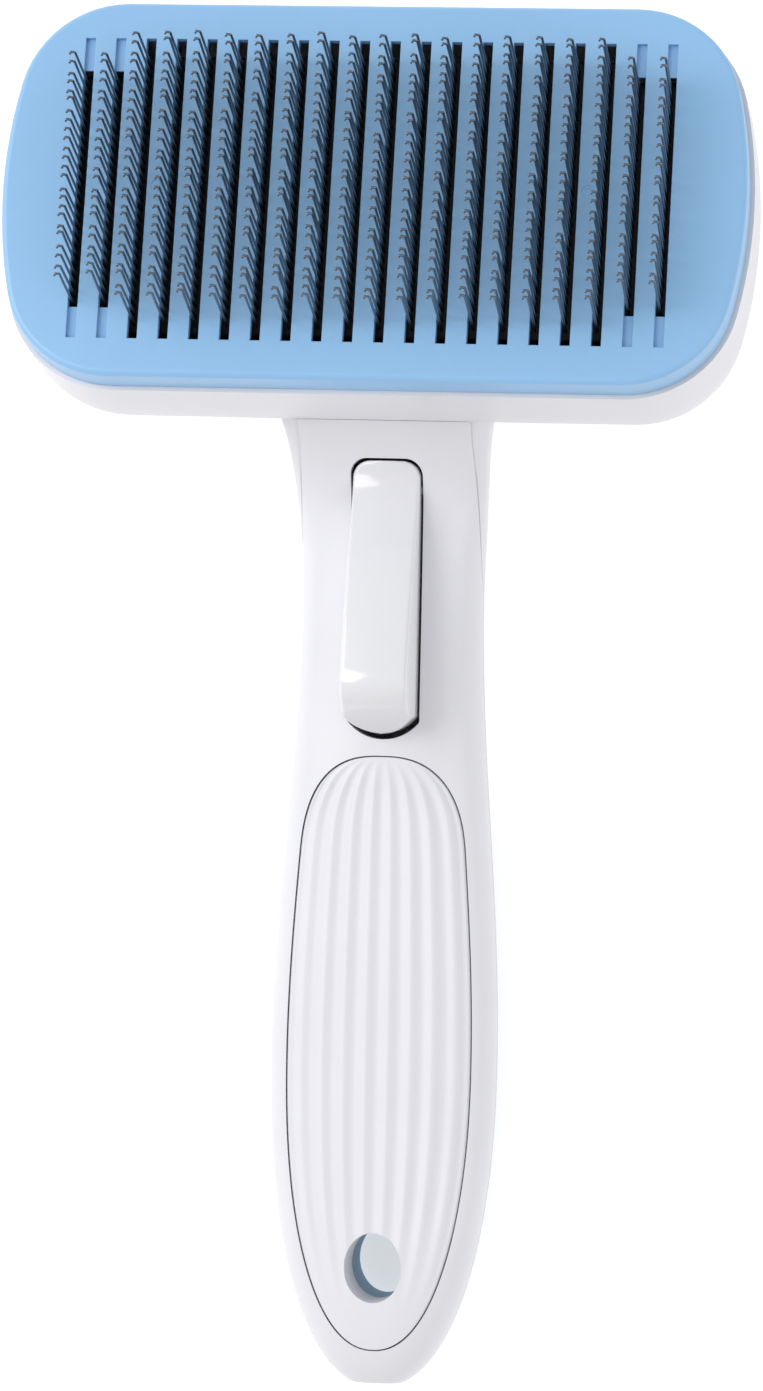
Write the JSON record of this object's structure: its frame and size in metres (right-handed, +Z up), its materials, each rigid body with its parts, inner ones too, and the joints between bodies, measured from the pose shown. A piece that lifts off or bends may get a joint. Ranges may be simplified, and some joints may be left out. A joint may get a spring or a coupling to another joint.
{
  "type": "self-cleaning slicker brush",
  "caption": "Pet slicker brush whose rows of hooked wires draw back through a slotted face plate when the trigger on the handle is pressed.",
  "frame": {"origin": "middle of the outline, on the surface that the brush lies on with its back down", "axes": "+Y along the handle towards the head, +Z up, the way the wires point, +X across the head"},
  "size_m": [0.1052, 0.1943, 0.0553],
  "materials": {
    "blue_plastic": "satin light blue ABS moulding",
    "white_plastic": "satin white ABS moulding",
    "white_gloss": "polished white ABS moulding",
    "grip_white": "soft-touch white grip moulding",
    "grip_blue": "soft-touch blue grip moulding",
    "black_rubber": "black needle pad",
    "dark_plastic": "dark nylon moulding",
    "steel_wire": "drawn steel wire",
    "steel_pin": "ground steel"
  },
  "bodies": {
    "housing": {"rear_shell": "white_plastic", "front_shell": "white_plastic", "face_plate": "blue_plastic", "front_grip": "grip_white", "rear_grip": "grip_blue", "trigger_pin": "steel_pin", "rocker_pin": "steel_pin", "return_spring_left": "steel_pin", "return_spring_right": "steel_pin", "trigger_spring": "steel_pin", "face_plate_screws": "steel_pin", "handle_screws": "steel_pin"},
    "trigger": {"trigger": "white_gloss"},
    "rocker": {"rocker_arm": "dark_plastic", "yoke_pin": "steel_pin"},
    "needle_carrier": {"needle_board": "dark_plastic", "cushion": "black_rubber", "needle_row_01": "steel_wire", "needle_row_02": "steel_wire", "needle_row_03": "steel_wire", "needle_row_04": "steel_wire", "needle_row_05": "steel_wire", "needle_row_06": "steel_wire", "needle_row_07": "steel_wire", "needle_row_08": "steel_wire", "needle_row_09": "steel_wire", "needle_row_10": "steel_wire", "needle_row_11": "steel_wire", "needle_row_12": "steel_wire", "needle_row_13": "steel_wire", "needle_row_14": "steel_wire", "needle_row_15": "steel_wire", "needle_row_16": "steel_wire", "needle_row_17": "steel_wire", "needle_row_18": "steel_wire", "needle_row_19": "steel_wire", "needle_row_20": "steel_wire"}
  },
  "joints": [
    {"name": "trigger_hinge", "type": "hinge", "parent": "housing", "child": "trigger", "pos_m": [0, 0.03, 0.0142], "axis": [1, 0, 0], "range_deg": [0, 9], "stiffness_Nm_per_rad": 0.04, "springref_deg": -5.73, "deforming": ["trigger_spring"]},
    {"name": "rocker_hinge", "type": "hinge", "parent": "housing", "child": "rocker", "pos_m": [0, 0.0072, 0.0072], "axis": [1, 0, 0], "range_deg": [-13.78, 0]},
    {"name": "carrier_slide", "type": "slide", "parent": "housing", "child": "needle_carrier", "axis": [0, -0.2639, -0.9646], "range_m": [0, 0.01301], "stiffness_N_per_m": 100, "springref_m": -0.004, "deforming": ["return_spring_left", "return_spring_right"]}
  ],
  "couplings": [
    {"joint": "rocker_hinge", "follows": "trigger_hinge", "ratio": -1.5288},
    {"joint": "carrier_slide", "follows": "trigger_hinge", "m_per_rad": 0.082761}
  ]
}
